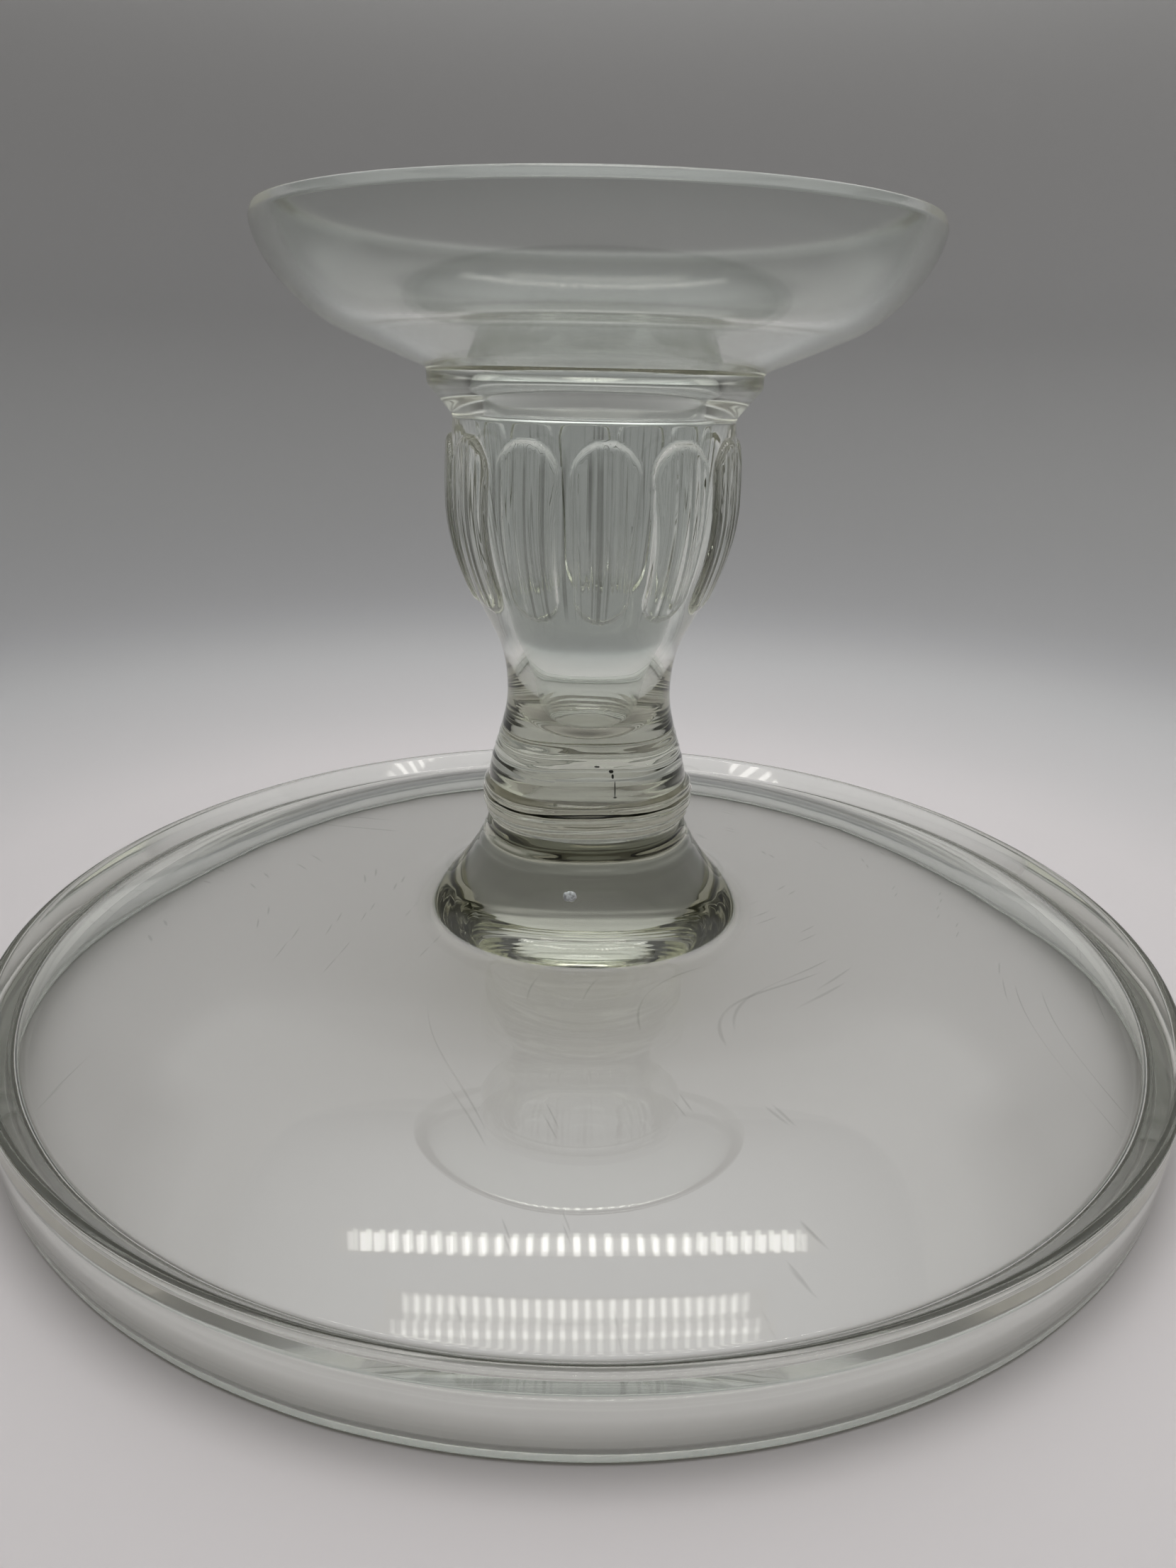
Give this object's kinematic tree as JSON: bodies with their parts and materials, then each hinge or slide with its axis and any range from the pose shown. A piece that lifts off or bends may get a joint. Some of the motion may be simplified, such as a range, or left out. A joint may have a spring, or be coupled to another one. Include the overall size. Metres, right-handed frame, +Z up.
{
  "type": "footed cake stand",
  "caption": "Clear pressed-glass cake stand stood upside down: a shallow rimmed plate joined by a wafer of glass to a fluted hollow pedestal with a wide saucer foot.",
  "frame": {"origin": "centre of the plate's rim on the table, at the bottom of the bounding box", "axes": "+Z up, along the common axis of the plate, the wafer and the pedestal, from the plate's rim to the foot"},
  "size_m": [0.3048, 0.3048, 0.1958],
  "materials": {
    "clear_glass": "fire-polished"
  },
  "bodies": {
    "root": {"serving_plate": "clear_glass", "joining_wafer": "clear_glass", "pedestal": "clear_glass"}
  },
  "joints": []
}
